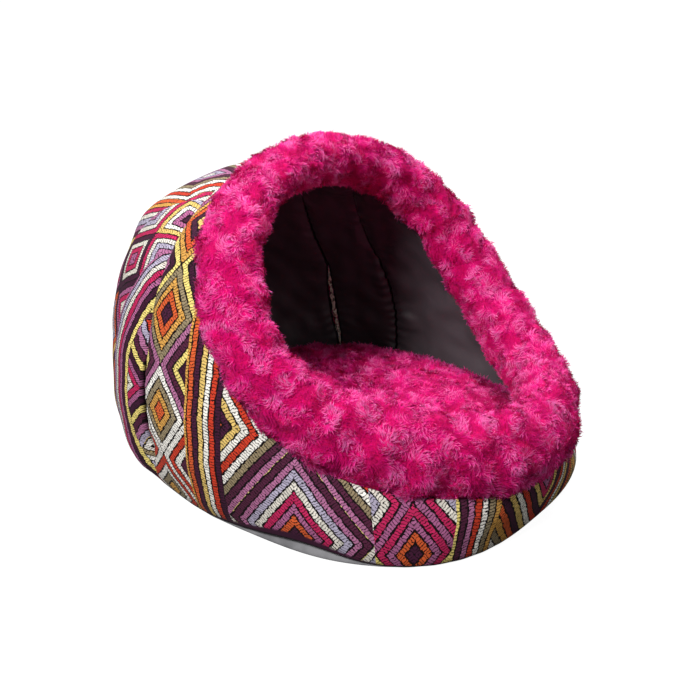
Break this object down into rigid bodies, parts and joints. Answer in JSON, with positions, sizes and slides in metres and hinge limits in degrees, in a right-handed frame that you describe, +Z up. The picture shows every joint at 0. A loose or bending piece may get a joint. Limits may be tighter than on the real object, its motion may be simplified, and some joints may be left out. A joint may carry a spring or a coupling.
{
  "type": "hooded plush pet bed",
  "caption": "Hooded pet bed: padded patterned cover, stuffed plush roll round a slanted opening, dark sewn lining, loose plush cushion and a flat base cloth.",
  "frame": {"origin": "middle of the base cloth's underside, on the floor", "axes": "+Z up; the low front lip of the opening faces -Y and the hood is towards +Y; +X is on the right seen from the front"},
  "size_m": [0.4162, 0.4962, 0.3231],
  "materials": {
    "rosette_plush": "long soft pile",
    "printed_cover": "patterned woven cloth",
    "lining": "smooth, slightly satin",
    "facing": "patterned woven cloth",
    "base_cloth": "matt"
  },
  "bodies": {
    "root": {"plush_roll": "rosette_plush", "cushion": "rosette_plush", "side_panel": "printed_cover", "back_panel": "printed_cover", "lining_sides": "lining", "lining_gusset_right": "lining", "lining_gusset_left": "lining", "lining_back": "lining", "slit_facing": "facing", "base_panel": "base_cloth"}
  },
  "joints": []
}
